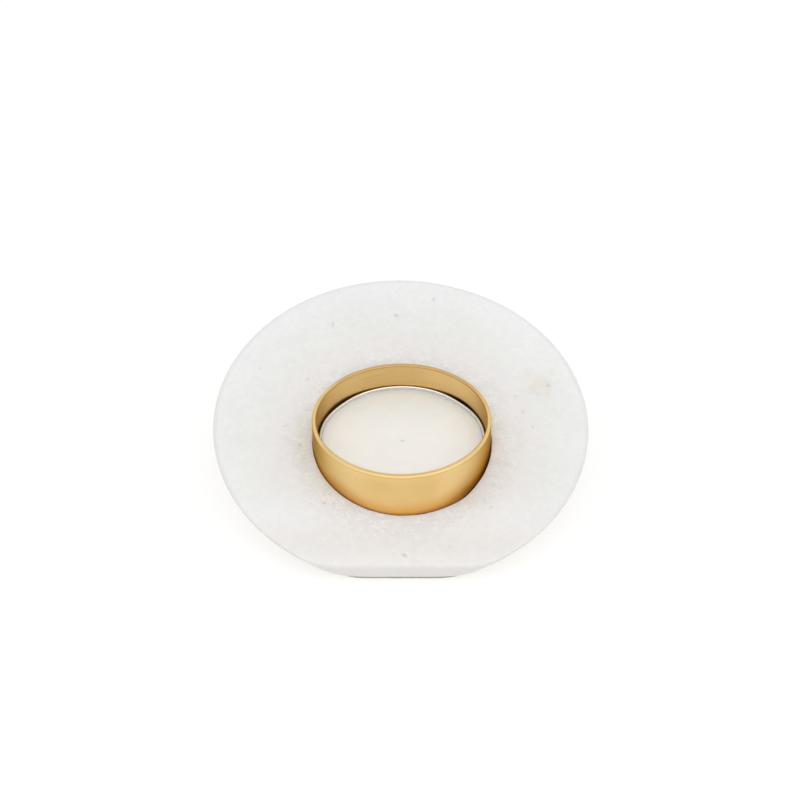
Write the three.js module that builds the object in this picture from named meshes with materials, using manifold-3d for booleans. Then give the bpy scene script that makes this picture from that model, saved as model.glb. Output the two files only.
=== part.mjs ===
// Marble tealight holder: a slice of a marble ball with a flat base, a slanted
// top face and a blunted front edge, bored right through on a vertical axis
// close to the ball's own. A plain turned brass cup stands in the bore, a felt disc closes the
// underside, and a low tealight stands loose in the cup.
//
// Millimetres, +Z up. Origin: on the vertical axis of the bore, at the level of
// the surface that the felt stands on. The low, blunted edge faces -Y.

import * as THREE from "three";
import { mergeVertices } from "three/addons/utils/BufferGeometryUtils.js";
import Module from "manifold-3d";

// ---- driving dimensions ---------------------------------------------------

// felt underside
const FELT_T = 0.5; // thickness
const FELT_R = 35.8; // radius of the disc
const FELT_FRONT_Y = -33.6; // straight front edge, set back from the marble's

// marble ball slice
const BALL_R = 49.0; // radius of the ball that the body is cut from
const BALL_Y = 0.35; // the ball's centre lies a little behind the bore's axis
const BALL_Z = 33.3; // height of the ball's centre
const FACE_TILT = 13.5; // degrees, the top face rises towards +Y
const FACE_Z = 12.2; // height of the top face on the bore's axis
const FRONT_Y = -34.3; // blunt front facet
const BORE_R = 21.25; // straight through bore, a little wider than the cup

// brass cup
const CUP_RIM_Z = 18.6; // height of the rim
const CUP_OR = 20.9; // outside radius
const CUP_IR = 19.9; // inside radius
const CUP_FLOOR_T = 1.1; // thickness of the cup's floor
const CUP_EASE = 0.25; // eased rim edges

// tealight, standing on the cup's floor
const TEA_Z0 = FELT_T + CUP_FLOOR_T; // underside of the tealight
const TEA_H = 11.1; // height to the top of the lip
const TEA_WALL = 0.3; // sheet thickness
const TEA_BASE_R = 18.1; // outside radius at the base
const TEA_TOP_R = 18.9; // outside radius just under the lip
const TEA_LIP_R = 19.5; // outside radius of the rolled lip
const TEA_LIP_H = 0.8; // height of the rolled lip
const WAX_DROP = 0.9; // wax surface below the top of the lip
const FIT = 0.1; // gap between the cast wax and what it surrounds

// wick and its steel tab
const WICK_R = 0.65;
const WICK_STAND = 1.6; // height of the stub above the wax
const TAB_R = 7.0;
const TAB_T = 0.3;
const TAB_COLLAR_R = 1.5;
const TAB_COLLAR_H = 2.6;

const SEG = 96; // segments of every turned piece

// ---- helpers ----------------------------------------------------------------

const wasm = await Module();
wasm.setup();

// A closed geometry as a solid that can be cut and joined.
function solid(geometry) {
  const bare = geometry.index ? geometry.toNonIndexed() : geometry.clone();
  for (const name of Object.keys(bare.attributes))
    if (name !== "position") bare.deleteAttribute(name);
  const merged = mergeVertices(bare, 1e-4);
  return new wasm.Manifold(
    new wasm.Mesh({
      numProp: 3,
      vertProperties: new Float32Array(merged.attributes.position.array),
      triVerts: new Uint32Array(merged.index.array),
    }),
  );
}

// A cut solid back as a geometry.
function geometryOf(manifold) {
  const mesh = manifold.getMesh();
  const n = mesh.numProp;
  const xyz = new Float32Array(mesh.numVert * 3);
  for (let i = 0; i < mesh.numVert; i++)
    xyz.set(mesh.vertProperties.subarray(i * n, i * n + 3), i * 3);
  const g = new THREE.BufferGeometry();
  g.setAttribute("position", new THREE.BufferAttribute(xyz, 3));
  g.setIndex(new THREE.BufferAttribute(new Uint32Array(mesh.triVerts), 1));
  g.computeVertexNormals();
  return g;
}

// A turned piece: [radius, height] points, in order up the outside and back
// down the inside, turned about Z.
function turned(points, segments = SEG) {
  const g = new THREE.LatheGeometry(
    points.map(([r, z]) => new THREE.Vector2(r, z)),
    segments,
  );
  g.rotateX(Math.PI / 2);
  return g;
}

function finish(color, roughness, metalness) {
  return new THREE.MeshStandardMaterial({ color, roughness, metalness });
}

const holder = new THREE.Group();
holder.name = "marble_tealight_holder";

const tealight = new THREE.Group();
tealight.name = "tealight";
holder.add(tealight);

function place(parent, name, geometry, material) {
  const mesh = new THREE.Mesh(geometry, material);
  mesh.name = name;
  parent.add(mesh);
  return mesh;
}

// ---- marble body ----------------------------------------------------------------

// the ball, as a turned piece
{
  const rings = 72;
  const profile = [];
  for (let i = 0; i <= rings; i++) {
    const a = -Math.PI / 2 + (Math.PI * i) / rings;
    profile.push([
      i === 0 || i === rings ? 0 : BALL_R * Math.cos(a),
      BALL_Z + BALL_R * Math.sin(a),
    ]);
  }
  const round = turned(profile, 128);
  round.translate(0, BALL_Y, 0);
  const ball = solid(round);

  // everything above the slanted top face
  const above = new THREE.BoxGeometry(200, 200, 200);
  above.translate(0, 0, 100);
  above.rotateX(THREE.MathUtils.degToRad(FACE_TILT));
  above.translate(0, 0, FACE_Z);

  // everything below the flat base
  const below = new THREE.BoxGeometry(200, 200, 60);
  below.translate(0, 0, FELT_T - 30);

  // everything in front of the blunt facet
  const front = new THREE.BoxGeometry(200, 60, 200);
  front.translate(0, FRONT_Y - 30, 0);

  // the through bore
  const bore = new THREE.CylinderGeometry(BORE_R, BORE_R, 120, 128);
  bore.rotateX(Math.PI / 2);

  const body = ball
    .subtract(solid(above))
    .subtract(solid(below))
    .subtract(solid(front))
    .subtract(solid(bore));
  place(holder, "marble_body", geometryOf(body), finish(0xe9e7e2, 0.38, 0.0));
}

// ---- brass cup --------------------------------------------------------------------

place(
  holder,
  "brass_cup",
  turned([
    [0, FELT_T],
    [CUP_OR - 0.8, FELT_T],
    [CUP_OR - 0.25, FELT_T + 0.25],
    [CUP_OR, FELT_T + 0.8],
    [CUP_OR, CUP_RIM_Z - CUP_EASE],
    [CUP_OR - CUP_EASE, CUP_RIM_Z],
    [CUP_IR + CUP_EASE, CUP_RIM_Z],
    [CUP_IR, CUP_RIM_Z - CUP_EASE],
    [CUP_IR, FELT_T + CUP_FLOOR_T + 0.4],
    [CUP_IR - 0.4, FELT_T + CUP_FLOOR_T],
    [0, FELT_T + CUP_FLOOR_T],
  ]),
  finish(0xd8b26a, 0.32, 1.0),
);

// ---- felt base ----------------------------------------------------------------------

{
  const half = Math.acos(-FELT_FRONT_Y / FELT_R); // half angle of the flat
  const outline = new THREE.Shape();
  const steps = 96;
  for (let i = 0; i <= steps; i++) {
    const a = -Math.PI / 2 + half + ((2 * Math.PI - 2 * half) * i) / steps;
    const x = FELT_R * Math.cos(a);
    const y = FELT_R * Math.sin(a);
    if (i === 0) outline.moveTo(x, y);
    else outline.lineTo(x, y);
  }
  outline.closePath();
  const g = new THREE.ExtrudeGeometry(outline, {
    depth: FELT_T,
    bevelEnabled: false,
    steps: 1,
  });
  place(holder, "felt_base", g, finish(0x9c978e, 0.95, 0.0));
}

// ---- tealight cup -----------------------------------------------------------------------

const lipZ = TEA_Z0 + TEA_H;
const waxZ = lipZ - WAX_DROP;
const innerBaseR = TEA_BASE_R - TEA_WALL;
const innerTopR = TEA_TOP_R - TEA_WALL;
const floorZ = TEA_Z0 + TEA_WALL;

place(
  tealight,
  "tealight_cup",
  turned([
    [0, TEA_Z0],
    [TEA_BASE_R - 0.8, TEA_Z0],
    [TEA_BASE_R - 0.2, TEA_Z0 + 0.25],
    [TEA_BASE_R, TEA_Z0 + 0.9],
    [TEA_TOP_R, lipZ - TEA_LIP_H],
    [TEA_LIP_R, lipZ - TEA_LIP_H + 0.12],
    [TEA_LIP_R, lipZ - 0.25],
    [TEA_LIP_R - 0.2, lipZ],
    [innerTopR + 0.15, lipZ],
    [innerTopR, lipZ - 0.25],
    [innerTopR, lipZ - TEA_LIP_H],
    [innerBaseR, TEA_Z0 + 0.9],
    [innerBaseR - 0.5, floorZ],
    [0, floorZ],
  ]),
  finish(0xc9cacb, 0.3, 1.0),
);

// ---- wax ---------------------------------------------------------------------------------

// cast around the tab and the wick: the profile closes on itself
{
  const hole = WICK_R + FIT;
  const bottom = floorZ + FIT;
  const tabTop = floorZ + FIT + TAB_T + FIT;
  const collarTop = floorZ + FIT + TAB_COLLAR_H + FIT;
  const sideR = (z) =>
    innerBaseR +
    ((innerTopR - innerBaseR) * (z - TEA_Z0 - 0.9)) /
      (lipZ - TEA_LIP_H - TEA_Z0 - 0.9) -
    FIT;
  place(
    tealight,
    "tealight_wax",
    turned([
      [TAB_R + FIT, bottom],
      [innerBaseR - 0.7, bottom],
      [sideR(TEA_Z0 + 0.9) - 0.02, TEA_Z0 + 1.0],
      [sideR(waxZ), waxZ],
      [hole, waxZ],
      [hole, collarTop],
      [TAB_COLLAR_R + FIT, collarTop],
      [TAB_COLLAR_R + FIT, tabTop],
      [TAB_R + FIT, tabTop],
      [TAB_R + FIT, bottom],
    ]),
    finish(0xefebe2, 0.5, 0.0),
  );
}

// ---- wick and tab ------------------------------------------------------------------------

place(
  tealight,
  "tealight_wick",
  turned(
    [
      [0, floorZ + FIT],
      [WICK_R, floorZ + FIT],
      [WICK_R, waxZ + WICK_STAND - 0.3],
      [WICK_R - 0.3, waxZ + WICK_STAND],
      [0, waxZ + WICK_STAND],
    ],
    24,
  ),
  finish(0xf1eee6, 0.9, 0.0),
);

{
  const z0 = floorZ + FIT;
  const hole = WICK_R + FIT;
  place(
    tealight,
    "wick_tab",
    turned(
      [
        [hole, z0],
        [TAB_R, z0],
        [TAB_R, z0 + TAB_T],
        [TAB_COLLAR_R, z0 + TAB_T],
        [TAB_COLLAR_R, z0 + TAB_COLLAR_H],
        [hole, z0 + TAB_COLLAR_H],
        [hole, z0],
      ],
      48,
    ),
    finish(0xb9babb, 0.35, 1.0),
  );
}

export default holder;
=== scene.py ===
import math

import bpy
import numpy as np
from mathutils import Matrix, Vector


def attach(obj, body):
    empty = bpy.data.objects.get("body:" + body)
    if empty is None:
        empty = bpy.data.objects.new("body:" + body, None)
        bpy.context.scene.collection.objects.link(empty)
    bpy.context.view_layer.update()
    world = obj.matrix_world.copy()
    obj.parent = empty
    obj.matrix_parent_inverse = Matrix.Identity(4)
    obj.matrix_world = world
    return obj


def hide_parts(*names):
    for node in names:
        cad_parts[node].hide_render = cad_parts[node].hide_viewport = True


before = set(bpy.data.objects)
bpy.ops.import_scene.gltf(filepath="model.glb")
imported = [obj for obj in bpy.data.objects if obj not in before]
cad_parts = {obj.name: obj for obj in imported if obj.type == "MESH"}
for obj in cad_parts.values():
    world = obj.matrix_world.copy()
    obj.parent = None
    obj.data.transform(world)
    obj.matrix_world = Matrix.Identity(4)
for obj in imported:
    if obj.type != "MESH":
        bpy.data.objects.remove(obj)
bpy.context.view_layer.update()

MM = 0.001
TAU = 2.0 * math.pi

# ---- sizes, in mm, the same as the model's ----------------------------------------

FELT_T, FELT_R, FELT_FRONT = 0.5, 35.8, 34.27
BALL_R, BALL_Z = 49.0, 33.3
TILT = math.tan(math.radians(13.5))
FACE_Z = 12.2
FRONT = 34.28
BORE_R = 21.25
CUP_OR, CUP_IR, CUP_RIM, CUP_FLOOR = 20.9, 19.9, 18.6, 1.6
TEA_Z0, LIP_Z = 1.6, 12.85
WAX_Z = 12.10
TEA_X = 0.15          # the candle stands loose, a little right of the middle
RIM = CUP_RIM + 0.15  # top of the rim as it is finished

# the larger pits: centre, width and depth in mm, direction in degrees, how drawn out
PITS = [
    (7.9, 42.1, 0.34, 0.10, 65, 2.3), (-1.3, 37.1, 0.45, 0.13, 20, 1.2), (-16.9, 34.0, 0.30, 0.09, 80, 2.8),
    (34.9, 15.7, 0.34, 0.10, 30, 1.9), (30.9, 3.8, 0.32, 0.09, 110, 1.8), (28.7, 8.1, 0.30, 0.07, 75, 2.4),
    (27.1, 12.7, 0.34, 0.08, 40, 1.5), (-23.7, -1.4, 0.38, 0.10, 130, 1.7), (-27.6, 4.0, 0.32, 0.08, 15, 2.0),
    (-22.6, 17.7, 0.34, 0.10, 55, 1.6), (0.7, -31.5, 0.40, 0.12, 160, 1.4), (20.4, -18.2, 0.34, 0.08, 35, 1.8),
    (-17.7, -17.7, 0.36, 0.10, 100, 1.5), (11.0, -29.0, 0.30, 0.05, 10, 1.8), (-34.0, 21.0, 0.30, 0.06, 140, 1.6),
]


# ---- mesh helpers -------------------------------------------------------------------

def shade(mesh):
    mesh.polygons.foreach_set("use_smooth", np.ones(len(mesh.polygons), dtype=bool))
    mesh.update()


def make_object(name, verts, faces, body, material, slot, node):
    mesh = bpy.data.meshes.new(name)
    mesh.from_pydata((np.asarray(verts, float) * MM).tolist(), [], faces)
    mesh.validate()
    shade(mesh)
    mesh.materials.append(material)
    obj = bpy.data.objects.new(name, mesh)
    bpy.context.scene.collection.objects.link(obj)
    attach(obj, body)
    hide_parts(node)
    return obj


def ring_faces(n, m, start=0, wrap_v=False):
    """Quads of an n by m grid of points, closed in the first direction and, with
    wrap_v, in the second one too. Points go round the axis in the first one."""
    faces = []
    last = m if wrap_v else m - 1
    for i in range(n):
        a = start + i * m
        b = start + ((i + 1) % n) * m
        for j in range(last):
            k = (j + 1) % m
            faces.append((a + j, b + j, b + k, a + k))
    return faces


def turned(points, n, shift=None):
    """A turned solid: (radius, height) points up the outside and down the inside.
    A profile that starts and ends on the axis gets one point at each pole, and one
    that doesn't is closed on itself. shift(theta, r, z) may move the points."""
    pts = np.array(points, float)
    on_axis = pts[0, 0] < 1e-9 and pts[-1, 0] < 1e-9
    body = pts[1:-1] if on_axis else pts
    theta = np.arange(n) * TAU / n
    r = np.repeat(body[None, :, 0], n, 0)
    z = np.repeat(body[None, :, 1], n, 0)
    t = np.repeat(theta[:, None], len(body), 1)
    if shift is not None:
        r, z = shift(t, r, z)
    verts = np.stack([r * np.cos(t), r * np.sin(t), z], -1).reshape(-1, 3)
    m = len(body)
    faces = ring_faces(n, m, 0, not on_axis)
    if on_axis:
        verts = np.vstack([verts, [[0, 0, pts[0, 1]], [0, 0, pts[-1, 1]]]])
        lo, hi = n * m, n * m + 1
        for i in range(n):
            k = (i + 1) % n
            faces.append((lo, k * m, i * m))
            faces.append((hi, i * m + m - 1, k * m + m - 1))
    return verts, faces


def soften(points, radii, steps=6):
    """A polyline with its corners rounded to the given radii (0 keeps a corner)."""
    pts = [np.array(p, float) for p in points]
    out = [pts[0]]
    for i in range(1, len(pts) - 1):
        rad = radii.get(i, 0.0)
        p = pts[i]
        if rad <= 0:
            out.append(p)
            continue
        a, b = pts[i - 1] - p, pts[i + 1] - p
        la, lb = np.linalg.norm(a), np.linalg.norm(b)
        a, b = a / la, b / lb
        beta = math.acos(float(np.clip(a @ b, -1, 1)))
        length = min(rad / math.tan(beta / 2), 0.48 * la, 0.48 * lb)
        rad = length * math.tan(beta / 2)
        c = p + (a + b) / np.linalg.norm(a + b) * rad / math.sin(beta / 2)
        va, vb = p + a * length - c, p + b * length - c
        phi = math.pi - beta
        for k in range(steps + 1):
            u = k / steps
            out.append(c + (math.sin((1 - u) * phi) * va + math.sin(u * phi) * vb) / math.sin(phi))
    out.append(pts[-1])
    return out


def spaced(points, step):
    """A polyline with no segment longer than step."""
    out = [np.array(points[0], float)]
    for p in points[1:]:
        q = out[-1]
        p = np.array(p, float)
        n = max(1, int(math.ceil(np.linalg.norm(p - q) / step)))
        for k in range(1, n + 1):
            out.append(q + (p - q) * k / n)
    return out


def waves(t, seed, low, high, count):
    """A smooth function round the axis, about -1 to 1, made of a few sines."""
    rng = np.random.default_rng(seed)
    v = np.zeros_like(t)
    for _ in range(count):
        v += np.sin(rng.integers(low, high + 1) * t + rng.uniform(0, TAU)) * rng.uniform(0.5, 1.0)
    return v / (0.75 * math.sqrt(count) * 1.6)


# ---- material helpers ---------------------------------------------------------------

class Nodes:
    def __init__(self, name):
        self.material = bpy.data.materials.new(name)
        self.material.use_nodes = True
        self.tree = self.material.node_tree
        self.tree.nodes.clear()
        out = self.add("ShaderNodeOutputMaterial")
        self.shader = self.add("ShaderNodeBsdfPrincipled")
        self.link(self.shader.outputs["BSDF"], out.inputs["Surface"])

    def add(self, kind, **props):
        n = self.tree.nodes.new(kind)
        for k, v in props.items():
            setattr(n, k, v)
        return n

    def link(self, a, b):
        self.tree.links.new(a, b)

    def put(self, socket, value):
        if isinstance(value, bpy.types.NodeSocket):
            self.link(value, socket)
        else:
            socket.default_value = value

    def set(self, **values):
        for k, v in values.items():
            self.put(self.shader.inputs[k.replace("_", " ")], v)

    def mm(self, scale=(1, 1, 1), offset=(0, 0, 0)):
        """The piece's own coordinates in mm, times scale."""
        c = self.add("ShaderNodeTexCoord")
        m = self.add("ShaderNodeMapping")
        m.inputs["Scale"].default_value = [1000.0 * s for s in scale]
        m.inputs["Location"].default_value = offset
        self.link(c.outputs["Object"], m.inputs["Vector"])
        return m.outputs["Vector"]

    def noise(self, vector, scale, detail=2.0, rough=0.5, distortion=0.0, color=False):
        n = self.add("ShaderNodeTexNoise")
        self.link(vector, n.inputs["Vector"])
        n.inputs["Scale"].default_value = scale
        n.inputs["Detail"].default_value = detail
        n.inputs["Roughness"].default_value = rough
        n.inputs["Distortion"].default_value = distortion
        return n.outputs["Color" if color else "Fac"]

    def cells(self, vector, scale, feature="F1", randomness=1.0):
        n = self.add("ShaderNodeTexVoronoi", feature=feature)
        self.link(vector, n.inputs["Vector"])
        n.inputs["Scale"].default_value = scale
        n.inputs["Randomness"].default_value = randomness
        return n

    def span(self, value, a, b, c, d, smooth=False):
        """Maps a..b to c..d, clamped."""
        n = self.add("ShaderNodeMapRange", clamp=True)
        if smooth:
            n.interpolation_type = "SMOOTHSTEP"
        self.put(n.inputs["Value"], value)
        for k, v in zip(("From Min", "From Max", "To Min", "To Max"), (a, b, c, d)):
            n.inputs[k].default_value = v
        return n.outputs["Result"]

    def math(self, op, a, b=None, c=None):
        n = self.add("ShaderNodeMath", operation=op)
        for s, v in zip(n.inputs, (a, b, c)):
            if v is not None:
                self.put(s, v)
        return n.outputs[0]

    def mix(self, fac, a, b, blend="MIX"):
        n = self.add("ShaderNodeMix", data_type="RGBA", blend_type=blend)
        self.put(n.inputs[0], fac)
        self.put(n.inputs[6], a)
        self.put(n.inputs[7], b)
        return n.outputs[2]

    def bump(self, height, distance, strength=1.0, normal=None):
        n = self.add("ShaderNodeBump")
        n.inputs["Strength"].default_value = strength
        n.inputs["Distance"].default_value = distance * MM
        self.link(height, n.inputs["Height"])
        if normal is not None:
            self.link(normal, n.inputs["Normal"])
        return n.outputs["Normal"]

    def around(self, turns, per_mm, radial=0.0):
        """Coordinates that run round the axis: turns per turn, per_mm up it, and
        radial per mm away from it."""
        c = self.add("ShaderNodeTexCoord")
        s = self.add("ShaderNodeSeparateXYZ")
        self.link(c.outputs["Object"], s.inputs[0])
        x, y, z = s.outputs
        r = self.math("SQRT", self.math("ADD", self.math("MULTIPLY", x, x), self.math("MULTIPLY", y, y)))
        # a circle in two of the coordinates keeps the grain whole all the way round
        u = self.add("ShaderNodeCombineXYZ")
        cx = self.math("DIVIDE", x, self.math("MAXIMUM", r, 1e-5))
        cy = self.math("DIVIDE", y, self.math("MAXIMUM", r, 1e-5))
        self.link(self.math("MULTIPLY", cx, turns), u.inputs[0])
        self.link(self.math("MULTIPLY", cy, turns), u.inputs[1])
        up = self.math("ADD", self.math("MULTIPLY", z, 1000.0 * per_mm), self.math("MULTIPLY", r, 1000.0 * radial))
        self.link(up, u.inputs[2])
        return u.outputs[0]


def rgb(r, g, b):
    return (r, g, b, 1.0)


# ---- materials ----------------------------------------------------------------------

def marble_material():
    n = Nodes("white_marble")
    p = n.mm()
    q = n.mm(offset=(31.0, 7.0, 19.0))
    split = n.add("ShaderNodeSeparateXYZ")
    n.link(p, split.inputs[0])
    x, y, z = split.outputs
    # clouds: a cool white with faintly greyer and faintly pink ones in it
    cloud = n.span(n.noise(p, 0.045, 4.0, 0.55, 0.8), 0.36, 0.66, 0.0, 1.0, True)
    tint = n.span(n.noise(q, 0.075, 3.0, 0.5, 0.4), 0.40, 0.64, 0.0, 0.7, True)
    col = n.mix(cloud, rgb(0.752, 0.753, 0.754), rgb(0.734, 0.736, 0.733))
    col = n.mix(tint, col, rgb(0.750, 0.744, 0.740))
    # painted shade and painted warm bounce from the brass on the stone round the cup, uneven, and weaker at the front
    r = n.math("SQRT", n.math("ADD", n.math("MULTIPLY", x, x), n.math("MULTIPLY", y, y)))
    blot = n.span(n.noise(q, 0.22, 4.0, 0.6, 0.7), 0.28, 0.72, -2.6, 2.6)
    away = n.math("ADD", n.math("SUBTRACT", r, BORE_R), n.math("MULTIPLY", blot, n.span(r, BORE_R, BORE_R + 5.0, 0.25, 1.0)))
    painted_cup_shade = n.add("ShaderNodeValToRGB")
    ramp = painted_cup_shade.color_ramp
    stops = [
        (0.0, (1.0, 0.965, 0.920)), (1.8, (0.965, 0.950, 0.925)), (3.0, (0.938, 0.926, 0.895)),
        (5.0, (0.948, 0.916, 0.902)), (7.0, (0.962, 0.936, 0.918)), (10.0, (0.963, 0.946, 0.930)),
        (14.0, (0.967, 0.972, 0.940)), (18.0, (0.984, 0.991, 0.974)), (22.0, (1.0, 1.0, 1.0)),
    ]
    while len(ramp.elements) < len(stops):
        ramp.elements.new(0.5)
    for e, (d, c) in zip(ramp.elements, stops):
        e.position = d / 24.0
        e.color = rgb(*c)
    n.link(n.math("DIVIDE", away, 24.0), painted_cup_shade.inputs[0])
    col = n.mix(n.span(y, -23.0, -12.0, 0.05, 1.0, True), col, painted_cup_shade.outputs[0], "MULTIPLY")
    low = n.span(y, -19.0, -27.0, 0.0, 1.0, True)
    col = n.mix(low, col, n.mix(1.0, col, rgb(1.0, 0.975, 0.955), "MULTIPLY"))
    belt = n.math("MULTIPLY", n.span(y, -24.0, -28.5, 0.0, 1.0, True), n.span(y, -33.0, -29.5, 0.0, 1.0, True))
    col = n.mix(n.math("MULTIPLY", belt, 0.8), col, n.mix(1.0, col, rgb(0.962, 0.968, 0.968), "MULTIPLY"))
    # painted light: a cooler, lighter patch on the stone just in front of the cup, offsetting warm light bounced off
    # the brass
    painted_cool_lift = n.math("MULTIPLY", n.math("MULTIPLY", n.span(y, -15.0, -20.0, 0.0, 1.0, True), n.span(n.math("ABSOLUTE", x), 7.0, 14.0, 1.0, 0.0, True)), n.span(r, BORE_R + 1.0, BORE_R + 6.0, 1.0, 0.0, True))
    col = n.mix(painted_cool_lift, col, n.mix(1.0, col, rgb(1.02, 1.025, 1.07), "MULTIPLY"))
    # painted shade on the stone close behind the cup
    painted_shade_behind = n.math("MULTIPLY", n.span(y, 11.0, 16.5, 0.0, 1.0, True), n.span(r, BORE_R + 1.6, BORE_R + 3.4, 1.0, 0.0, True))
    col = n.mix(painted_shade_behind, col, n.mix(1.0, col, rgb(0.915, 0.910, 0.905), "MULTIPLY"))
    # a little darker beside the cup on the left
    flank = n.math("MULTIPLY", n.span(x, -20.0, -22.5, 0.0, 1.0, True), n.span(r, BORE_R + 3.0, BORE_R + 6.0, 1.0, 0.0, True))
    flank = n.math("MULTIPLY", flank, n.span(n.math("ABSOLUTE", y), 5.0, 12.0, 1.0, 0.0, True))
    col = n.mix(flank, col, n.mix(1.0, col, rgb(0.952, 0.958, 0.950), "MULTIPLY"))
    # a warm mark in the stone at the back right
    mark = n.add("ShaderNodeVectorMath", operation="DISTANCE")
    n.link(p, mark.inputs[0])
    mark.inputs[1].default_value = (33.3, 16.0, FACE_Z + 16.0 * TILT)
    spot = n.math("ADD", mark.outputs["Value"], n.math("MULTIPLY", blot, 0.9))
    col = n.mix(n.span(spot, 1.0, 6.5, 0.9, 0.0, True), col, n.mix(1.0, col, rgb(0.950, 0.912, 0.862), "MULTIPLY"))
    # crystal grain: small cells that catch the light a little differently
    big = n.cells(p, 0.75)
    fine = n.cells(q, 2.1)
    s1 = n.add("ShaderNodeSeparateColor")
    n.link(big.outputs["Color"], s1.inputs[0])
    s2 = n.add("ShaderNodeSeparateColor")
    n.link(fine.outputs["Color"], s2.inputs[0])
    grain = n.math("ADD", n.span(s1.outputs[0], 0, 1, -0.014, 0.014), n.span(s2.outputs[0], 0, 1, -0.015, 0.015))
    # the grain shows more close to the cup
    grain = n.math("MULTIPLY", grain, n.span(away, 1.0, 8.0, 3.0, 1.0, True))
    streak = n.span(n.noise(n.mm(scale=(1.0, 0.35, 0.6)), 0.9, 3.0, 0.6, 0.6), 0.60, 0.74, 0.0, 0.025, True)
    light = n.math("ADD", n.math("ADD", grain, streak), 1.0)
    # near the cup single crystals stand out, a few bright and a few dull
    near = n.span(away, 2.0, 8.5, 1.0, 0.0, True)
    fleck = n.cells(n.mm(offset=(5.0, 2.0, 9.0)), 0.95)
    s3 = n.add("ShaderNodeSeparateColor")
    n.link(fleck.outputs["Color"], s3.inputs[0])
    odd = n.math("ADD", n.span(s3.outputs[0], 0.84, 0.90, 0.0, 0.10), n.span(s3.outputs[0], 0.07, 0.12, -0.11, 0.0))
    inner = n.span(fleck.outputs["Distance"], 0.18, 0.50, 1.0, 0.0, True)
    light = n.math("ADD", light, n.math("MULTIPLY", n.math("MULTIPLY", odd, inner), near))
    # painted shade: the eased outer edge is a little darker, except at the front, and the foot is a hair lighter
    edge = n.add("ShaderNodeAttribute", attribute_type="GEOMETRY", attribute_name="painted_edge_shade")
    light = n.math("MULTIPLY", light, n.span(edge.outputs["Fac"], 0.0, 1.0, 1.0, 0.930))
    light = n.math("MULTIPLY", light, n.span(z, 0.6, 4.2, 1.005, 1.0, True))
    lift = n.add("ShaderNodeCombineColor")
    for i in range(3):
        n.link(light, lift.inputs[i])
    col = n.mix(1.0, col, lift.outputs[0], "MULTIPLY")
    # a few hair-fine grey veins
    v = n.noise(p, 0.06, 5.0, 0.6, 1.6)
    vein = n.span(n.math("ABSOLUTE", n.math("SUBTRACT", v, 0.53)), 0.0, 0.010, 0.10, 0.0, True)
    col = n.mix(vein, col, rgb(0.60, 0.59, 0.57))
    # small grey pits with ragged sides, where a crystal has broken out
    wander = n.add("ShaderNodeVectorMath", operation="MULTIPLY_ADD")
    n.link(n.noise(p, 1.5, 3.0, 0.6, 0.0, True), wander.inputs[0])
    wander.inputs[1].default_value = (1.5, 1.5, 0.0)
    n.link(p, wander.inputs[2])
    hole = None
    for px, py, w, d, way, long in PITS:
        ca, sa = math.cos(math.radians(way)), math.sin(math.radians(way))
        off = n.add("ShaderNodeVectorMath", operation="SUBTRACT")
        n.link(wander.outputs[0], off.inputs[0])
        off.inputs[1].default_value = (px + 0.75, py + 0.75, FACE_Z + py * TILT)
        parts = []
        for axis in ((ca / long, sa / long, 0.0), (-sa, ca, 0.0), (0.0, 0.0, 0.5)):
            dot = n.add("ShaderNodeVectorMath", operation="DOT_PRODUCT")
            n.link(off.outputs[0], dot.inputs[0])
            dot.inputs[1].default_value = axis
            parts.append(n.math("MULTIPLY", dot.outputs["Value"], dot.outputs["Value"]))
        far = n.math("SQRT", n.math("ADD", n.math("ADD", parts[0], parts[1]), parts[2]))
        m = n.span(far, 0.30 * w, 1.45 * w, d * 8.0, 0.0, True)
        hole = m if hole is None else n.math("MAXIMUM", hole, m)
    hole = n.math("MINIMUM", hole, 1.0)
    col = n.mix(n.math("MULTIPLY", hole, 0.42), col, rgb(0.40, 0.385, 0.355))
    n.set(Base_Color=col, IOR=1.5, Subsurface_Weight=0.22, Subsurface_Scale=0.0022)
    n.shader.inputs["Subsurface Radius"].default_value = (1.0, 0.9, 0.78)
    rough = n.math("ADD", n.span(n.noise(p, 0.5, 4.0, 0.6), 0.3, 0.7, 0.36, 0.48), n.span(s2.outputs[1], 0, 1, -0.05, 0.05))
    n.set(Roughness=rough)
    fineb = n.math("ADD", n.span(fine.outputs["Distance"], 0.0, 0.7, 0.0, 0.5), n.noise(p, 3.5, 3.0, 0.6))
    nor = n.bump(fineb, 0.012)
    nor = n.bump(n.math("SUBTRACT", 1.0, hole), 0.06, 1.0, nor)
    n.set(Normal=nor)
    return n.material


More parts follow.
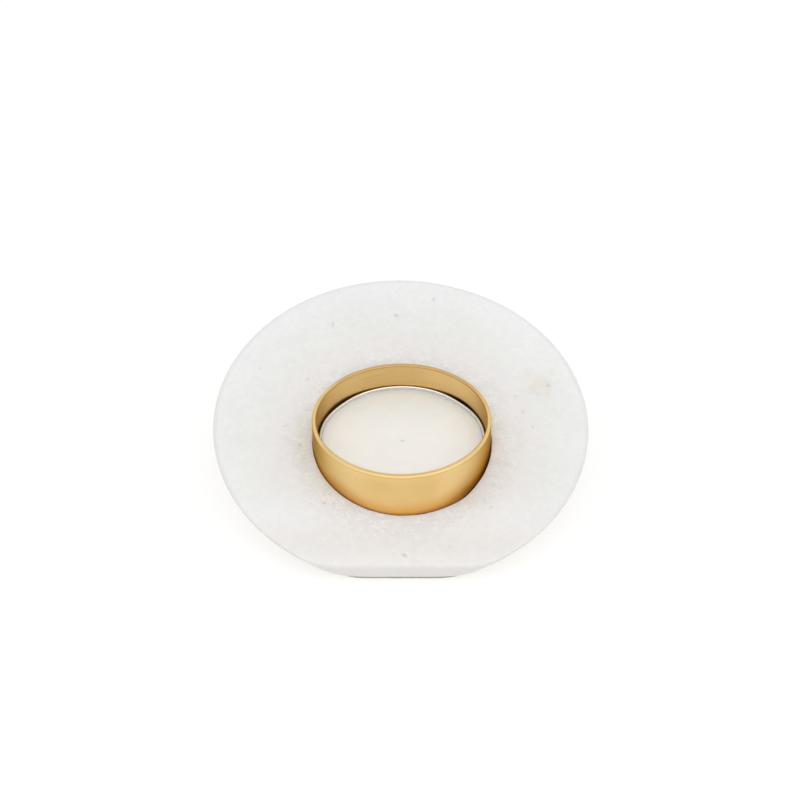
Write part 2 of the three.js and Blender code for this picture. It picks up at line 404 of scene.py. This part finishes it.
def brass_material():
    n = Nodes("turned_brass")
    line = n.noise(n.around(1.6, 5.5, 5.5), 1.0, 3.0, 0.6)
    hair = n.noise(n.around(3.5, 16.0, 16.0), 1.0, 2.0, 0.6)
    patch = n.noise(n.mm(), 0.10, 4.0, 0.6, 0.5)
    smear = n.noise(n.around(2.2, 0.35), 1.3, 3.0, 0.6)
    col = n.mix(n.span(patch, 0.35, 0.68, 0.0, 1.0, True), rgb(0.93, 0.660, 0.285), rgb(0.90, 0.632, 0.258))
    col = n.mix(n.span(line, 0.35, 0.7, 0.0, 0.12), col, rgb(0.95, 0.690, 0.310))
    c = n.add("ShaderNodeTexCoord")
    s = n.add("ShaderNodeSeparateXYZ")
    n.link(c.outputs["Object"], s.inputs[0])
    x, y, z = s.outputs
    r = n.math("SQRT", n.math("ADD", n.math("MULTIPLY", x, x), n.math("MULTIPLY", y, y)))
    across = n.math("ABSOLUTE", n.math("DIVIDE", x, n.math("MAXIMUM", r, 1e-5)))
    # painted highlights on two broad places on the front, and painted shade high up at the front and back
    painted_sheen = n.math("MULTIPLY", n.span(across, 0.25, 0.60, 0.0, 1.0, True), n.span(across, 0.70, 0.95, 1.0, 0.0, True))
    col = n.mix(n.math("MULTIPLY", painted_sheen, 0.9), col, rgb(0.990, 0.725, 0.342))
    painted_top_shade = n.math("MULTIPLY", n.span(across, 0.15, 0.50, 1.0, 0.0, True), n.span(z, 0.0125, 0.0165, 0.0, 0.65, True))
    col = n.mix(painted_top_shade, col, rgb(0.78, 0.545, 0.235))
    # the inside was never polished as far as the outside, and its colour also holds painted light: lighter towards the
    # sides and on the right, darker at the back
    inside = n.math("MULTIPLY", n.span(r, 0.02000, 0.02015, 1.0, 0.0, True), n.span(z, 0.01845, 0.01865, 1.0, 0.0, True))
    painted_side_light = n.mix(n.span(x, -0.008, 0.008, 0.0, 1.0, True), rgb(0.87, 0.612, 0.280), rgb(0.955, 0.680, 0.332))
    turn = n.math("DIVIDE", x, n.math("MAXIMUM", r, 1e-5))
    painted_light_mask = n.math("MAXIMUM", n.span(across, 0.35, 0.75, 0.0, 1.0, True), n.span(turn, 0.10, 0.42, 0.0, 0.6, True))
    inside_painted_light_and_shade = n.mix(painted_light_mask, rgb(0.80, 0.555, 0.240), painted_side_light)
    # painted shade: the inside wall is dark on the right up to where the candle stands close to it
    painted_gap_shade = n.math("MULTIPLY", n.span(z, 0.01280, 0.01350, 0.85, 0.0, True), n.span(turn, 0.35, 0.78, 0.0, 1.0, True))
    inside_painted_light_and_shade = n.mix(painted_gap_shade, inside_painted_light_and_shade, rgb(0.12, 0.070, 0.025))
    # painted shade on the inside wall at the far left and right
    inside_painted_light_and_shade = n.mix(n.span(across, 0.86, 0.98, 0.0, 0.3, True), inside_painted_light_and_shade, rgb(0.55, 0.345, 0.125))
    col = n.mix(n.math("MULTIPLY", inside, 0.9), col, inside_painted_light_and_shade)
    # painted warm reflection and painted shade on the outside towards the seam with the stone, reaching higher at the
    # sides and on the right, darkest in the corner on the right
    above = n.math("SUBTRACT", n.math("MULTIPLY", z, 1000.0), n.math("ADD", n.math("MULTIPLY", y, 1000.0 * TILT), FACE_Z))
    right = n.span(n.math("DIVIDE", x, n.math("MAXIMUM", r, 1e-5)), -0.2, 0.85, 0.0, 1.0, True)
    side = n.span(across, 0.25, 0.8, 0.0, 1.0, True)
    left = n.span(n.math("DIVIDE", x, n.math("MAXIMUM", r, 1e-5)), -0.80, -0.30, 1.0, 0.0, True)
    reach = n.math("ADD", n.math("ADD", 4.2, n.math("MULTIPLY", side, 1.6)), n.math("MULTIPLY", right, 1.1))
    reach = n.math("ADD", reach, n.math("MULTIPLY", left, 0.1))
    reach = n.math("SUBTRACT", reach, n.span(n.math("DIVIDE", x, n.math("MAXIMUM", r, 1e-5)), -0.95, -0.64, 3.0, 0.0, True))
    reach = n.math("MULTIPLY", reach, n.span(n.noise(n.mm(), 0.12, 2.0, 0.5), 0.3, 0.7, 0.90, 1.10))
    depth = n.math("DIVIDE", above, reach)
    painted_warm_reflection = n.math("MULTIPLY", n.span(depth, 0.0, 1.0, 0.86, 0.0, True), n.math("SUBTRACT", 1.0, n.math("MULTIPLY", left, 0.05)))
    # painted shade in the corner on the right
    corner = n.math("MULTIPLY", n.span(depth, 0.04, 0.44, 0.58, 0.0, True), n.span(n.math("DIVIDE", x, n.math("MAXIMUM", r, 1e-5)), 0.38, 0.72, 0.0, 1.0, True))
    painted_seam_shade = n.math("MAXIMUM", n.span(depth, 0.0, 0.30, 0.42, 0.0, True), corner)
    outside = n.math("SUBTRACT", 1.0, inside)
    col = n.mix(n.math("MULTIPLY", painted_warm_reflection, outside), col, n.mix(side, rgb(0.88, 0.430, 0.075), rgb(0.66, 0.260, 0.035)))
    col = n.mix(n.math("MULTIPLY", painted_seam_shade, outside), col, rgb(0.20, 0.092, 0.016))
    # a dark line at the rim's inner edge, another round the outside just under the rim, and turning marks inside
    high = n.span(n.math("MULTIPLY", z, 1000.0), RIM - 0.50, RIM - 0.20, 0.0, 1.0, True)
    inner = n.span(n.math("ABSOLUTE", n.math("SUBTRACT", n.math("MULTIPLY", r, 1000.0), CUP_IR + 0.10)), 0.07, 0.20, 0.54, 0.0, True)
    col = n.mix(n.math("MULTIPLY", high, inner), col, rgb(0.26, 0.145, 0.040))
    outer = n.span(n.math("ABSOLUTE", n.math("SUBTRACT", n.math("MULTIPLY", z, 1000.0), RIM - 0.42)), 0.06, 0.20, 0.24, 0.0, True)
    col = n.mix(n.math("MULTIPLY", outer, outside), col, rgb(0.50, 0.300, 0.085))
    # painted shade on the top of the rim at the front and at the back, and a painted highlight on its inner edge at the
    # front
    # painted shade on the rim top at the front
    flat = n.math("MULTIPLY", n.span(z, 0.01843, 0.01864, 0.0, 0.72, True), n.span(y, -0.012, -0.007, 1.0, 0.0, True))
    col = n.mix(flat, col, rgb(0.76, 0.545, 0.245))
    painted_rim_back_shade = n.math("MULTIPLY", n.span(z, 0.01843, 0.01864, 0.0, 0.45, True), n.span(y, 0.010, 0.016, 0.0, 1.0, True))
    col = n.mix(painted_rim_back_shade, col, rgb(0.66, 0.470, 0.250))
    painted_rim_highlight = n.math("MULTIPLY", n.span(r, 0.01988, 0.01998, 1.0, 0.0, True), n.span(z, 0.01835, 0.01860, 0.0, 0.85, True))
    col = n.mix(n.math("MULTIPLY", painted_rim_highlight, n.span(y, -0.012, -0.007, 1.0, 0.0, True)), col, rgb(0.93, 0.740, 0.470))
    marks = n.span(n.noise(n.around(0.9, 1.9), 1.0, 3.0, 0.65), 0.58, 0.72, 0.0, 0.45, True)
    col = n.mix(n.math("MULTIPLY", marks, inside), col, rgb(0.52, 0.315, 0.095))
    n.set(Base_Color=col, Metallic=1.0, Anisotropic=0.45)
    n.shader.inputs["Specular Tint"].default_value = rgb(0.30, 0.185, 0.075)
    rough = n.math("ADD", n.span(line, 0.3, 0.7, 0.32, 0.36), n.span(smear, 0.35, 0.7, -0.02, 0.03))
    n.set(Roughness=n.math("ADD", rough, n.math("MULTIPLY", inside, 0.06)))
    t = n.add("ShaderNodeTangent", direction_type="RADIAL", axis="Z")
    n.link(t.outputs[0], n.shader.inputs["Tangent"])
    nor = n.bump(line, 0.0004)
    nor = n.bump(hair, 0.0002, 1.0, nor)
    n.set(Normal=nor)
    return n.material


def felt_material():
    n = Nodes("grey_felt")
    p = n.mm()
    fibre = n.noise(n.mm(scale=(1.0, 2.6, 1.5)), 3.0, 5.0, 0.7, 2.2)
    tuft = n.noise(p, 1.1, 4.0, 0.65, 0.8)
    col = n.mix(n.span(fibre, 0.3, 0.7, 0.0, 1.0), rgb(0.40, 0.385, 0.350), rgb(0.58, 0.560, 0.515))
    col = n.mix(n.span(tuft, 0.35, 0.7, 0.0, 0.5), col, rgb(0.46, 0.44, 0.40))
    n.set(Base_Color=col, Roughness=0.95, Sheen_Weight=0.3, Sheen_Roughness=0.5)
    n.set(Normal=n.bump(n.math("ADD", fibre, tuft), 0.12))
    return n.material


def aluminium_material():
    n = Nodes("drawn_aluminium")
    line = n.noise(n.around(5.0, 1.4, 6.0), 1.0, 3.0, 0.6)
    up = n.noise(n.around(60.0, 0.12, 0.5), 1.0, 2.0, 0.6)
    col = n.mix(n.span(line, 0.3, 0.7, 0.0, 1.0), rgb(0.78, 0.78, 0.785), rgb(0.86, 0.86, 0.865))
    # below the lip the die has left the wall duller, with faint upright lines
    split = n.add("ShaderNodeSeparateXYZ")
    n.link(n.mm(), split.inputs[0])
    wall = n.span(split.outputs[2], LIP_Z - 1.1, LIP_Z - 0.6, 1.0, 0.0, True)
    col = n.mix(wall, col, n.mix(n.span(up, 0.3, 0.7, 0.0, 1.0), rgb(0.52, 0.522, 0.530), rgb(0.62, 0.622, 0.628)))
    n.set(Base_Color=col, Metallic=1.0)
    n.set(Roughness=n.math("ADD", n.span(up, 0.3, 0.7, 0.20, 0.30), n.span(line, 0.3, 0.7, -0.02, 0.03)))
    nor = n.bump(up, 0.0012)
    n.set(Normal=n.bump(line, 0.0006, 1.0, nor))
    return n.material


def wax_material():
    n = Nodes("cream_wax")
    p = n.mm()
    mottle = n.noise(p, 0.16, 4.0, 0.55, 0.6)
    frost = n.noise(p, 1.6, 4.0, 0.6)
    col = n.mix(n.span(mottle, 0.34, 0.68, 0.0, 1.0, True), rgb(0.805, 0.786, 0.750), rgb(0.788, 0.768, 0.730))
    col = n.mix(n.span(frost, 0.5, 0.75, 0.0, 0.25, True), col, rgb(0.82, 0.81, 0.79))
    # painted shade on the wax towards the back
    split = n.add("ShaderNodeSeparateXYZ")
    n.link(p, split.inputs[0])
    painted_back_shade = n.span(split.outputs[1], 3.0, 15.0, 0.0, 1.0, True)
    col = n.mix(painted_back_shade, col, n.mix(1.0, col, rgb(0.940, 0.968, 0.955), "MULTIPLY"))
    n.set(Base_Color=col, IOR=1.44, Subsurface_Weight=0.55, Subsurface_Scale=0.0025)
    n.shader.inputs["Subsurface Radius"].default_value = (1.0, 0.8, 0.55)
    n.set(Roughness=n.span(frost, 0.3, 0.7, 0.38, 0.55))
    nor = n.bump(n.noise(p, 0.35, 3.0, 0.5), 0.03)
    n.set(Normal=n.bump(frost, 0.010, 1.0, nor))
    return n.material


def wick_material():
    n = Nodes("waxed_cotton")
    p = n.mm()
    fibre = n.noise(n.mm(scale=(3.0, 3.0, 0.8)), 3.2, 4.0, 0.65, 0.8)
    col = n.mix(n.span(fibre, 0.3, 0.7, 0.0, 1.0), rgb(0.985, 0.975, 0.950), rgb(0.955, 0.940, 0.905))
    n.set(Base_Color=col, Subsurface_Weight=0.6, Subsurface_Scale=0.0012)
    n.set(Roughness=n.span(n.noise(p, 2.0, 3.0), 0.3, 0.7, 0.5, 0.75))
    n.set(Normal=n.bump(fibre, 0.02))
    return n.material


def tab_material():
    n = Nodes("tinned_steel")
    p = n.mm()
    spangle = n.cells(p, 0.8)
    s = n.add("ShaderNodeSeparateColor")
    n.link(spangle.outputs["Color"], s.inputs[0])
    col = n.mix(n.span(s.outputs[0], 0, 1, 0, 1), rgb(0.60, 0.60, 0.605), rgb(0.70, 0.70, 0.71))
    n.set(Base_Color=col, Metallic=1.0)
    n.set(Roughness=n.math("ADD", n.span(s.outputs[1], 0, 1, 0.24, 0.38), n.span(n.noise(p, 1.5, 3.0), 0.3, 0.7, -0.04, 0.04)))
    n.set(Normal=n.bump(n.noise(p, 2.2, 4.0), 0.01))
    return n.material


def floor_material():
    n = Nodes("white_floor")
    p = n.mm()
    soft = n.noise(p, 0.01, 3.0)
    n.set(Base_Color=n.mix(soft, rgb(0.213, 0.242, 0.285), rgb(0.223, 0.252, 0.295)), Roughness=0.9)
    n.shader.inputs["Specular IOR Level"].default_value = 0.1
    n.shader.inputs["Emission Color"].default_value = rgb(1.0, 0.956, 0.884)
    n.shader.inputs["Emission Strength"].default_value = 0.775
    return n.material


# ---- marble ---------------------------------------------------------------------------

def smooth_min(a, b, k):
    h = np.clip(k - np.abs(a - b), 0, None) / k
    return np.minimum(a, b) - h * h * k / 4


def wall_radius(theta, z):
    """Radius of the marble's outer wall: the ball, cut by the blunt front. It was cut
    by hand, so it is a little out of round and out of centre."""
    ball = np.sqrt(np.clip(BALL_R ** 2 - (z - BALL_Z) ** 2, 1, None)) + 0.12
    for k, (a, b) in enumerate(((-0.253, 0.246), (-0.102, -0.131), (0.072, 0.071)), 1):
        ball = ball + a * np.cos(k * theta) + b * np.sin(k * theta)
    s = -np.sin(theta)
    flat = np.where(s > 0.3, FRONT / np.clip(s, 0.3, None), 1e3)
    return smooth_min(ball, flat, 2.0)


def fillet(corner, t1, t2, rho, steps):
    """Points of a rounded corner from the side t1 to the side t2, one row a theta."""
    cosb = np.clip((t1 * t2).sum(-1), -0.9999, 0.9999)
    beta = np.arccos(cosb)
    length = rho / np.tan(beta / 2)
    mid = t1 + t2
    mid /= np.linalg.norm(mid, axis=-1, keepdims=True)
    c = corner + mid * (rho / np.sin(beta / 2))[:, None]
    va = corner + t1 * length[:, None] - c
    vb = corner + t2 * length[:, None] - c
    phi = math.pi - beta
    out = []
    for k in range(steps + 1):
        u = k / steps
        out.append(c + (np.sin((1 - u) * phi)[:, None] * va + np.sin(u * phi)[:, None] * vb) / np.sin(phi)[:, None])
    return out


def marble():
    n = 768
    t = np.arange(n) * TAU / n
    m = np.sin(t) * TILT
    z0 = FELT_T

    def unit(a, b):
        v = np.stack([a * np.ones(n), b * np.ones(n)], -1)
        return v / np.linalg.norm(v, axis=-1, keepdims=True)

    # where the face meets the outer wall
    # the bore is drilled by hand: it sits close to the cup except at the front right
    bore = BORE_R - 0.27 + 0.17 * np.exp(-(((t - math.radians(338) + math.pi) % TAU - math.pi) / 0.45) ** 2)
    bore += 0.06 * np.cos(t) + 0.02 * waves(t, 9, 3, 23, 8)
    lo, hi = bore.copy(), np.full(n, 60.0)
    for _ in range(60):
        r = (lo + hi) / 2
        inside = wall_radius(t, FACE_Z + m * r) > r
        lo, hi = np.where(inside, r, lo), np.where(inside, hi, r)
    rim = np.stack([lo, FACE_Z + m * lo], -1)
    e = 1e-3
    lean = (wall_radius(t, rim[:, 1] + e) - wall_radius(t, rim[:, 1] - e)) / (2 * e)
    foot_r = wall_radius(t, np.full(n, z0))
    foot_lean = (wall_radius(t, np.full(n, z0 + e)) - foot_r) / e

    # a hand-eased edge, with a few tiny nicks
    front = np.clip((-np.sin(t) - 0.80) / 0.20, 0, 1)
    ease = 0.50 + 0.05 * waves(t, 3, 3, 17, 6) + 0.6 * front * front * (3 - 2 * front)
    rng = np.random.default_rng(11)
    for _ in range(9):
        a, w, d = rng.uniform(0, TAU), rng.uniform(0.3, 0.7) / 44.0, rng.uniform(0.06, 0.16)
        gap = np.abs((t - a + math.pi) % TAU - math.pi)
        ease += d * np.exp(-((gap / w) ** 2))

    down = unit(-lean, -1.0)
    top_edge = fillet(rim, unit(-1.0, -m), down, ease, 9)
    foot = np.stack([foot_r, np.full(n, z0)], -1)
    foot_edge = fillet(foot, unit(foot_lean, 1.0), unit(-1.0, 0.0), np.full(n, 0.40), 5)
    # the face was ground by hand: at the cup it is a little high on the left and low
    # on the right of the front

    def swell(deg, wide):
        gap = (t - math.radians(deg) + math.pi) % TAU - math.pi
        return np.exp(-((gap / math.radians(wide)) ** 2))

    lift = 0.52 * swell(228, 42) + 0.08 * swell(275, 25) - 0.33 * swell(318, 22) - 0.30 * swell(312, 8)
    mouth = np.stack([bore, FACE_Z + m * bore + lift], -1)
    mouth_edge = fillet(mouth, unit(0.0, -1.0), unit(1.0, m), 0.11 + 0.02 * waves(t, 10, 5, 40, 8), 5)
    heel = np.stack([bore, np.full(n, z0)], -1)
    heel_edge = fillet(heel, unit(1.0, 0.0), unit(0.0, 1.0), np.full(n, 0.15), 2)

    rows = []
    rows += heel_edge
    a, b = heel_edge[-1], mouth_edge[0]
    rows += [a + (b - a) * u for u in np.linspace(0, 1, 6)[1:-1]]
    rows += mouth_edge
    a, b = mouth_edge[-1], top_edge[0]
    face_from = len(rows)
    rows += [a + (b - a) * u for u in [*np.linspace(0, 0.985, 74)[1:], 0.991, 0.996]]
    face_to = len(rows)
    rows += top_edge
    a, b = top_edge[-1], foot_edge[0]
    for u in np.linspace(0, 1, 22)[1:-1]:
        z = a[:, 1] + (b[:, 1] - a[:, 1]) * u
        # the straight-sided corner and the ball's curve run into each other
        r = wall_radius(t, z)
        near = np.clip(1 - u * 6, 0, 1)
        line = a[:, 0] + (z - a[:, 1]) * lean
        rows.append(np.stack([r * (1 - near) + np.minimum(line, r + 0.01) * near, z], -1))
    rows += foot_edge
    a, b = foot_edge[-1], heel_edge[0]
    rows += [a + (b - a) * u for u in np.linspace(0, 1, 9)[1:-1]]

    grid = np.stack(rows, 1)                       # theta, profile, (r, z)
    x = grid[..., 0] * np.cos(t)[:, None]
    y = grid[..., 0] * np.sin(t)[:, None]
    z = grid[..., 1].copy()
    # pits in the face: small shallow dents, deeper than wide ones are rare
    for px, py, w, d, way, long in PITS:
        face = slice(face_from, face_to)
        ca, sa = math.cos(math.radians(way)), math.sin(math.radians(way))
        ox, oy = x[:, face] - px, y[:, face] - py
        gap = np.hypot((ox * ca + oy * sa) / long, oy * ca - ox * sa)
        z[:, face] -= d * np.exp(-((gap / w) ** 2))
    verts = np.stack([x, y, z], -1).reshape(-1, 3)
    faces = ring_faces(n, grid.shape[1], 0, True)
    # how far a point belongs to the outer edge that is painted darker as shade
    painted_edge_shade = np.zeros(grid.shape[:2])
    painted_edge_shade[:, face_to:face_to + len(top_edge)] = 1.0
    painted_edge_shade[:, face_to - 4:face_to] = [0.15, 0.55, 0.90, 1.0]
    painted_edge_shade *= np.clip((np.sin(t) + 0.75) / 0.5, 0, 1)[:, None]
    return verts, [f[::-1] for f in faces], painted_edge_shade.reshape(-1).astype(np.float32)


# ---- brass cup --------------------------------------------------------------------------

def brass_cup():
    profile = soften(
        [
            (0, FELT_T), (CUP_OR, FELT_T), (CUP_OR, CUP_RIM), (CUP_IR, CUP_RIM),
            (CUP_IR, CUP_FLOOR), (0, CUP_FLOOR),
        ],
        {1: 0.8, 2: 0.28, 3: 0.22, 4: 0.6},
        7,
    )
    profile = [profile[0]] + spaced(profile[1:-1], 0.9) + [profile[-1]]

    def wobble(t, r, z):
        # a turned wall is never perfectly round, and this one leans a little: lower
        # down it lies further to the right
        r = r + 0.015 * waves(t, 21, 2, 7, 4) * (r > 15) * np.clip((z - 3) / 10, 0, 1)
        # the rim's inner edge stands a little higher and further in at the front
        front = np.clip((-np.sin(t) - 0.35) / 0.4, 0, 1)
        front = front * front * (3 - 2 * front)
        top = np.clip((z - 17.0) / 1.4, 0, 1) * (r > 15)
        inner = np.clip((20.75 - r) / 0.75, 0, 1)
        lean = 0.08 * np.clip((17.0 - z) / 9.0, 0, 1) * (r > 15)
        r = r - 0.30 * front * inner * top + lean * np.cos(t)
        return r, z + 0.15 * top + 0.10 * front * inner * top

    return turned(profile, 288, wobble)


# ---- felt -------------------------------------------------------------------------------

def felt():
    n, t = 900, np.arange(900) * TAU / 900
    s = -np.sin(t)
    edge = smooth_min(np.full(n, FELT_R), np.where(s > 0.3, FELT_FRONT / np.clip(s, 0.3, None), 1e3), 0.8)
    edge = edge + 0.05 * waves(t, 5, 120, 380, 30) + 0.04 * waves(t, 6, 20, 90, 10) - 0.08
    profile = [(0.0, 0.03), (0.2, 0.03), (0.4, 0.03), (0.6, 0.03), (0.8, 0.03), (0.93, 0.03),
               (0.985, 0.05), (0.9965, 0.13), (1.0, 0.25), (0.9955, 0.38), (0.985, 0.45),
               (0.93, 0.47), (0.6, 0.47), (0.3, 0.47), (0.0, 0.47)]
    body = profile[1:-1]
    verts = []
    rng = np.random.default_rng(8)
    for i in range(n):
        for k, (u, z) in enumerate(body):
            fuzz = 0.05 if 5 <= k <= 10 else 0.02
            r = edge[i] * u + (rng.uniform(-fuzz, 0) if k > 4 else 0)
            verts.append((r * math.cos(t[i]), r * math.sin(t[i]), z + rng.uniform(-0.015, 0.015)))
    m = len(body)
    verts += [(0, 0, profile[0][1]), (0, 0, profile[-1][1])]
    faces = ring_faces(n, m)
    lo, hi = n * m, n * m + 1
    for i in range(n):
        k = (i + 1) % n
        faces.append((lo, k * m, i * m))
        faces.append((hi, i * m + m - 1, k * m + m - 1))
    return verts, faces


# ---- tealight ---------------------------------------------------------------------------

def dented(t):
    """How far the thin cup's rim is out of round: a bulge at the back and at each
    side, with dents between them."""
    gap = np.abs((t - math.pi / 2 + math.pi) % TAU - math.pi)
    left = np.cos(t) < 0
    at = np.where(left, 0.86, 0.80)
    dent = np.where(left, 0.19, 0.20) * np.exp(-(((gap - at) / 0.23) ** 2))
    bulge = 0.31 * np.exp(-((gap / np.where(left, 0.70, 0.58)) ** 2))
    return bulge - dent + np.where(left, 0.15, 0.18) * np.exp(-(((gap - 1.27) / 0.35) ** 2))


def tealight_cup():
    base = TEA_Z0
    outside = soften(
        [(0, base + 0.25), (6.0, base + 0.25), (6.4, base + 0.02), (10.2, base + 0.02), (10.6, base + 0.22),
         (13.6, base + 0.22), (14.0, base + 0.0), (18.05, base + 0.0), (18.2, base + 1.4), (18.88, LIP_Z - 0.72)],
        {1: 0.3, 2: 0.3, 3: 0.3, 4: 0.3, 5: 0.3, 6: 0.3, 7: 0.9},
        4,
    )
    # the rolled lip, from under its outside round to the inside wall
    lip = [(18.90, LIP_Z - 0.66)]
    c, rad = (19.17, LIP_Z - 0.30), 0.30
    for k in range(15):
        a = math.radians(-118 + (118 + 172) * k / 14)
        lip.append((c[0] + rad * math.cos(a), c[1] + rad * math.sin(a)))
    inside = soften(
        [(18.76, LIP_Z - 0.6), (18.64, LIP_Z - 1.3), (17.95, base + 1.5), (17.75, base + 0.3), (14.2, base + 0.3),
         (13.4, base + 0.52), (10.8, base + 0.52), (10.0, base + 0.32), (6.6, base + 0.32), (5.8, base + 0.55), (0, base + 0.55)],
        {3: 0.7, 4: 0.3, 5: 0.3, 6: 0.3, 7: 0.3, 8: 0.3, 9: 0.3},
        4,
    )
    profile = [outside[0]] + spaced([*outside[1:], *lip, *inside[:-1]], 0.55) + [inside[-1]]

    def flutes(t, r, z):
        # the drawn wall keeps fine upright folds under the lip
        up = np.clip((z - base - 3.0) / 5.0, 0, 1) * np.clip((LIP_Z - 0.8 - z) / 0.6, 0, 1) * (r > 18.2)
        r = r + 0.035 * up * np.cos(72 * t + 0.6 * waves(t, 14, 2, 9, 4))
        return r + dented(t) * np.clip((z - base - 4.0) / 6.0, 0, 1) * (r > 17.2), z

    verts, faces = turned(profile, 576, flutes)
    return verts + [TEA_X, 0, 0], faces


def wax():
    hole = 0.22
    profile = [(7.5, 2.05), (17.1, 2.05), (17.7, 2.7), (18.05, 5.0), (18.60, 11.1), (18.74, WAX_Z + 0.28)]
    # meniscus at the wall, a slight sink, and a rise at the wick
    for r in [18.55, 18.35, 18.15, 17.9, 17.65, 17.4, 17.0, 16.4, 15.6, 14.5, 13.0, 11.5, 10.0, 8.5, 7.0, 5.5, 4.4, 3.5, 2.8, 2.2, 1.75, 1.4, 1.1, 0.85, 0.70, 0.58, 0.48, 0.40, 0.33, 0.27]:
        z = WAX_Z - 0.08 * math.exp(-(((r - 9.0) / 4.5) ** 2))
        z += 0.28 * math.exp(-((18.74 - r) / 0.45)) + 0.22 * math.exp(-((r - hole) / 0.7))
        profile.append((r, z))
    profile += [(hole, WAX_Z + 0.20), (hole, 8.0), (hole, 4.75), (1.90, 4.70), (1.90, 2.42), (7.5, 2.42)]

    def uneven(t, r, z):
        top = (z > 11.5) * np.clip((18.5 - r) / 1.5, 0, 1) * np.clip((r - 0.8) / 2.0, 0, 1)
        z = z + 0.022 * top * (waves(t, 31, 1, 4, 4) * np.clip(r / 18, 0, 1) + waves(t + r * 0.12, 32, 2, 6, 4) * 0.6)
        return r + dented(t) * np.clip((z - 5.6) / 6.0, 0, 1) * np.clip((r - 8) / 10, 0, 1), z

    verts, faces = turned(profile, 192, uneven)
    return verts + [TEA_X, 0, 0], faces


def wick():
    n, rows = 48, 60
    z0, z1 = 2.02, 12.46
    verts, t = [], np.arange(n) * TAU / n
    rng = np.random.default_rng(4)
    for j in range(rows):
        u = j / (rows - 1)
        z = z0 + (z1 - z0) * u
        lean = np.clip((z - WAX_Z - 0.1) / 1.5, 0, 1) ** 1.5
        cx, cy = TEA_X - 0.60 * lean, 0.10 * lean
        turn = z * 1.15
        r = 0.34 * (1 + 0.13 * np.cos(3 * (t - turn)) + 0.05 * np.cos(3 * (t + turn * 1.6)) + 0.02 * waves(t + z, 40, 6, 14, 4))
        if u > 0.985:
            r = r * 0.80
        for i in range(n):
            verts.append((cx + r[i] * math.cos(t[i]), cy + r[i] * math.sin(t[i]), z))
    # points go round first here, so the grid is laid out the other way
    grid = np.array(verts).reshape(rows, n, 3).transpose(1, 0, 2).reshape(-1, 3)
    faces = ring_faces(n, rows)
    top = [grid[i * rows + rows - 1] for i in range(n)]
    verts = np.vstack([grid, [[TEA_X, 0, z0]], [np.mean(top, 0) + [0, 0, 0.12]]])
    lo, hi = n * rows, n * rows + 1
    for i in range(n):
        k = (i + 1) % n
        faces.append((lo, k * rows, i * rows))
        faces.append((hi, i * rows + rows - 1, k * rows + rows - 1))
    return verts, faces


# ---- pieces -----------------------------------------------------------------------------

stone_verts, stone_faces, stone_painted_edge_shade = marble()
stone = make_object("marble_stone", stone_verts, stone_faces, "holder", marble_material(), "marble", "marble_body")
stone.data.attributes.new("painted_edge_shade", "FLOAT", "POINT").data.foreach_set("value", stone_painted_edge_shade)
make_object("brass_insert", *brass_cup(), "holder", brass_material(), "brass", "brass_cup")
make_object("felt_pad", *felt(), "holder", felt_material(), "felt", "felt_base")
make_object("candle_cup", *tealight_cup(), "tealight", aluminium_material(), "tealight_aluminium", "tealight_cup")
make_object("candle_wax", *wax(), "tealight", wax_material(), "wax", "tealight_wax")
make_object("candle_wick", *wick(), "tealight", wick_material(), "wick_cotton", "tealight_wick")

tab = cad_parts["wick_tab"]
tab.data.materials.clear()
tab.data.materials.append(tab_material())

# ---- floor, light and camera --------------------------------------------------------------

scene = bpy.context.scene
floor_mesh = bpy.data.meshes.new("floor")
h = 6.0
floor_mesh.from_pydata([(-h, -h, -2e-5), (h, -h, -2e-5), (h, h, -2e-5), (-h, h, -2e-5)], [], [(0, 1, 2, 3)])
floor_mesh.materials.append(floor_material())
floor = bpy.data.objects.new("floor", floor_mesh)
scene.collection.objects.link(floor)

world = bpy.data.worlds.new("studio")
scene.world = world
world.use_nodes = True
back = world.node_tree.nodes.get("Background")
back.inputs["Color"].default_value = (1.0, 1.0, 1.0, 1.0)
back.inputs["Strength"].default_value = 0.80


def softbox(name, place, aim, size, energy, color=(1, 1, 1)):
    data = bpy.data.lights.new(name, "AREA")
    data.shape = "RECTANGLE"
    data.size, data.size_y = size
    data.energy = energy
    data.color = color
    obj = bpy.data.objects.new(name, data)
    obj.location = place
    obj.rotation_mode = "QUATERNION"
    obj.rotation_quaternion = (Vector(aim) - Vector(place)).to_track_quat("-Z", "Y")
    scene.collection.objects.link(obj)
    return obj


softbox("top", (0.06, -0.15, 0.87), (0, 0, 0), (1.4, 1.4), 4.75)

cam_data = bpy.data.cameras.new("camera")
cam_data.sensor_width = 36.0
cam_data.lens = 95.88
cam_data.clip_start, cam_data.clip_end = 0.01, 50.0
cam = bpy.data.objects.new("camera", cam_data)
cam.location = (0.0, -0.38240, 0.33463)
cam.rotation_mode = "QUATERNION"
cam.rotation_quaternion = Vector((-0.00076, 0.77651, -0.63011)).to_track_quat("-Z", "Y")
scene.collection.objects.link(cam)
scene.camera = cam

scene.view_settings.view_transform = "Standard"
scene.view_settings.look = "None"
